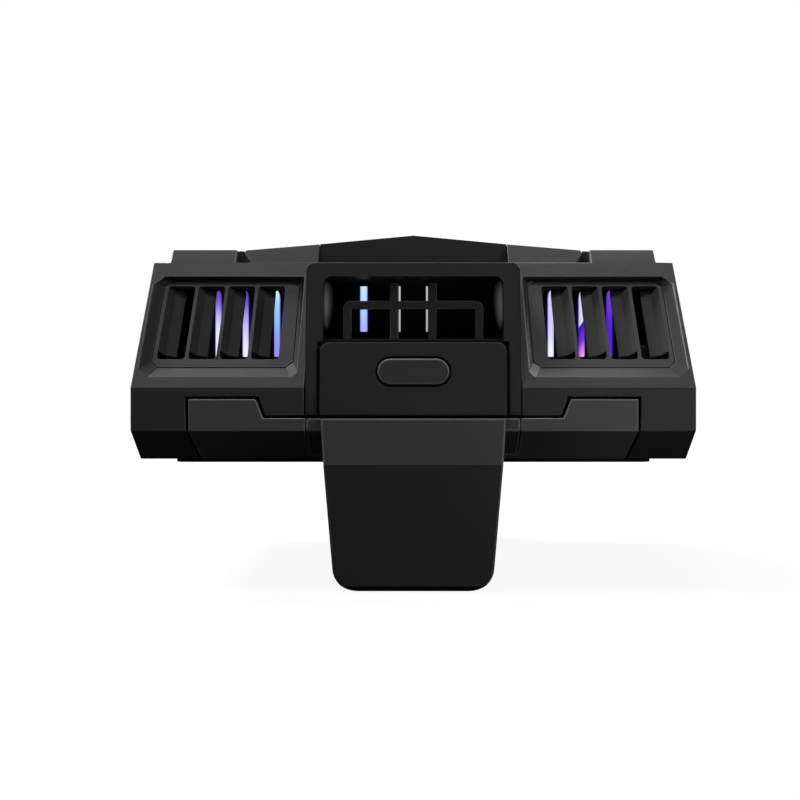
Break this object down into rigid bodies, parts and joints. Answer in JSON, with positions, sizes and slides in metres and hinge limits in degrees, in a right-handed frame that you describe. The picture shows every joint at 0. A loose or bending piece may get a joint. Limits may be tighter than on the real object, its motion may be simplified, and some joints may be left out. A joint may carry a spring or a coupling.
{
  "type": "phone cooling fan",
  "caption": "Clip-on phone cooler with a faceted dark body, sloping louvred vents with coloured light behind, a top fan, a push button and a sprung clamp jaw that grips the phone's edges.",
  "frame": {"origin": "centre of the contact pad's face, which lies on the back of the phone", "axes": "+Z out of the phone towards the fan intake, +X along the width of the body, -Y towards the sliding jaw and the button"},
  "size_m": [0.072, 0.0724, 0.0483],
  "materials": {
    "shell": "fine matt texture",
    "trim": "satin black",
    "jaw": "satin",
    "rubber": "matt silicone",
    "light": "clear light guide",
    "board": "solder mask",
    "led": "moulded",
    "steel": "plated",
    "aluminium": "extruded",
    "brass": "sintered",
    "copper": "enamelled winding",
    "magnet": "ferrite",
    "ceramic": "alumina ceramic",
    "foam": "closed-cell foam"
  },
  "bodies": {
    "housing": {"lower_housing": "shell", "upper_housing": "shell", "top_cover": "shell", "ridge_strip": "trim", "intake_grille": "trim", "front_bezel": "trim", "window_grille": "trim", "button_panel": "trim", "rear_bezel": "trim", "rear_window_grille": "trim", "vent_front_left": "shell", "vent_front_right": "shell", "vent_rear_left": "shell", "vent_rear_right": "shell", "light_comb_front_left": "light", "light_comb_front_right": "light", "light_comb_rear_left": "light", "light_comb_rear_right": "light", "window_light": "light", "main_board": "board", "leds": "led", "usb_socket": "steel", "switch_board": "board", "tact_switch": "steel", "fan_frame": "trim", "fan_bearing": "brass", "fan_stator": "copper", "heat_sink": "aluminium", "peltier_module": "ceramic", "insulation_gasket": "foam", "cold_plate": "aluminium", "contact_pad": "rubber", "rear_hook": "jaw", "rear_grip_pad": "rubber", "guide_bushes": "brass", "spring_left": "steel", "spring_right": "steel", "housing_screws": "steel", "fan_screws": "steel", "hook_screws": "steel"},
    "clamp_jaw": {"jaw_bar": "jaw", "clamp_arm": "jaw", "front_grip_pad": "rubber", "guide_rods": "steel", "rod_clips": "steel", "arm_screws": "steel"},
    "fan": {"fan_rotor": "trim", "rotor_magnet": "magnet", "fan_shaft": "steel"},
    "button": {"mode_button": "jaw", "switch_plunger": "steel"}
  },
  "joints": [
    {"name": "jaw_slide", "type": "slide", "parent": "housing", "child": "clamp_jaw", "axis": [0, -1, 0], "range_m": [0, 0.024], "stiffness_N_per_m": 150, "springref_m": -0.02, "deforming": ["spring_left", "spring_right"]},
    {"name": "fan_spin", "type": "hinge", "parent": "housing", "child": "fan", "pos_m": [0, 0, 0.02], "axis": [0, 0, 1], "continuous": true},
    {"name": "button_press", "type": "slide", "parent": "housing", "child": "button", "axis": [0, 0.9962, -0.0872], "range_m": [0, 0.0005], "stiffness_N_per_m": 800}
  ]
}
